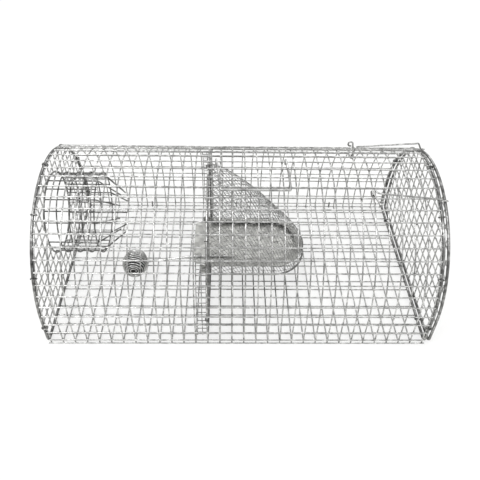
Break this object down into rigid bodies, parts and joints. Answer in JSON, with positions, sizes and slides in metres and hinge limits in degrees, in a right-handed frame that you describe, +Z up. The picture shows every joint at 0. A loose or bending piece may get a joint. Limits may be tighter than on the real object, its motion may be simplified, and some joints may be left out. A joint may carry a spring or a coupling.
{
  "type": "live catch trap",
  "caption": "Half-round welded wire cage with a spiked entry funnel, a hooded tilting plate with a counterweight, and a latched end door.",
  "frame": {"origin": "middle of the floor panel, on the surface that the cage stands on", "axes": "+Z up, +X along the cage from the entry end to the door, -Y towards the side with the carry handle's bar"},
  "size_m": [0.4085, 0.232, 0.1669],
  "materials": {
    "galvanised_wire": "bright zinc coated",
    "galvanised_sheet": "dull zinc coated",
    "fine_mesh": "zinc coated",
    "clip_wire": "zinc coated",
    "bright_wire": "bright zinc coated"
  },
  "bodies": {
    "cage": {"roof_hoop_wires": "galvanised_wire", "roof_long_wires": "galvanised_wire", "floor_cross_wires": "galvanised_wire", "floor_long_wires": "galvanised_wire", "seam_rings": "clip_wire", "entry_end_frame": "galvanised_wire", "entry_upright_wires": "galvanised_wire", "entry_level_wires": "galvanised_wire", "entry_mouth_ring": "galvanised_wire", "entry_clips": "clip_wire", "tunnel_rings": "galvanised_wire", "tunnel_long_wires": "galvanised_wire", "tunnel_spike_wires": "galvanised_wire", "exit_end_ring": "galvanised_wire", "exit_clips": "clip_wire", "partition_frame": "galvanised_wire", "partition_upright_wires": "fine_mesh", "partition_level_wires": "fine_mesh", "partition_flange_wires": "fine_mesh", "partition_ties": "clip_wire", "hood_mouth_wire": "galvanised_wire", "hood_mesh": "fine_mesh", "hood_base_wire": "galvanised_wire", "hood_rim": "galvanised_sheet", "pivot_brackets": "galvanised_sheet", "door_hinge_rings": "clip_wire"},
    "tilt": {"tilt_plate": "galvanised_sheet", "plate_axle": "bright_wire", "lever_arm": "bright_wire", "lever_clips": "galvanised_sheet", "counterweight_coil": "bright_wire"},
    "door": {"door_frame": "galvanised_wire", "door_upright_wires": "galvanised_wire", "door_level_wires": "galvanised_wire"},
    "handle": {"carry_handle": "bright_wire"},
    "latch_front": {"front_latch": "bright_wire"},
    "latch_rear": {"rear_latch": "bright_wire"}
  },
  "joints": [
    {"name": "plate_tilt", "type": "hinge", "parent": "cage", "child": "tilt", "pos_m": [-0.036, 0, 0.03818], "axis": [0, 1, 0], "range_deg": [0, 17]},
    {"name": "door_hinge", "type": "hinge", "parent": "cage", "child": "door", "pos_m": [0.20382, 0, 0.00292], "axis": [0, 1, 0], "range_deg": [0, 90]},
    {"name": "handle_swing", "type": "hinge", "parent": "cage", "child": "handle", "pos_m": [0.013, 0.00632, 0.14913], "axis": [-1, 0, 0], "range_deg": [0, 150]},
    {"name": "front_latch_lift", "type": "hinge", "parent": "cage", "child": "latch_front", "pos_m": [0.13335, -0.03676, 0.14173], "axis": [0, -0.9455, -0.3257], "range_deg": [0, 45]},
    {"name": "rear_latch_lift", "type": "hinge", "parent": "cage", "child": "latch_rear", "pos_m": [0.12065, 0.02476, 0.14513], "axis": [0, -0.9756, 0.2194], "range_deg": [0, 45]}
  ],
  "couplings": [
    {"joint": "front_latch_lift", "follows": "door_hinge", "ratio": 0.5},
    {"joint": "rear_latch_lift", "follows": "door_hinge", "ratio": 0.5}
  ]
}
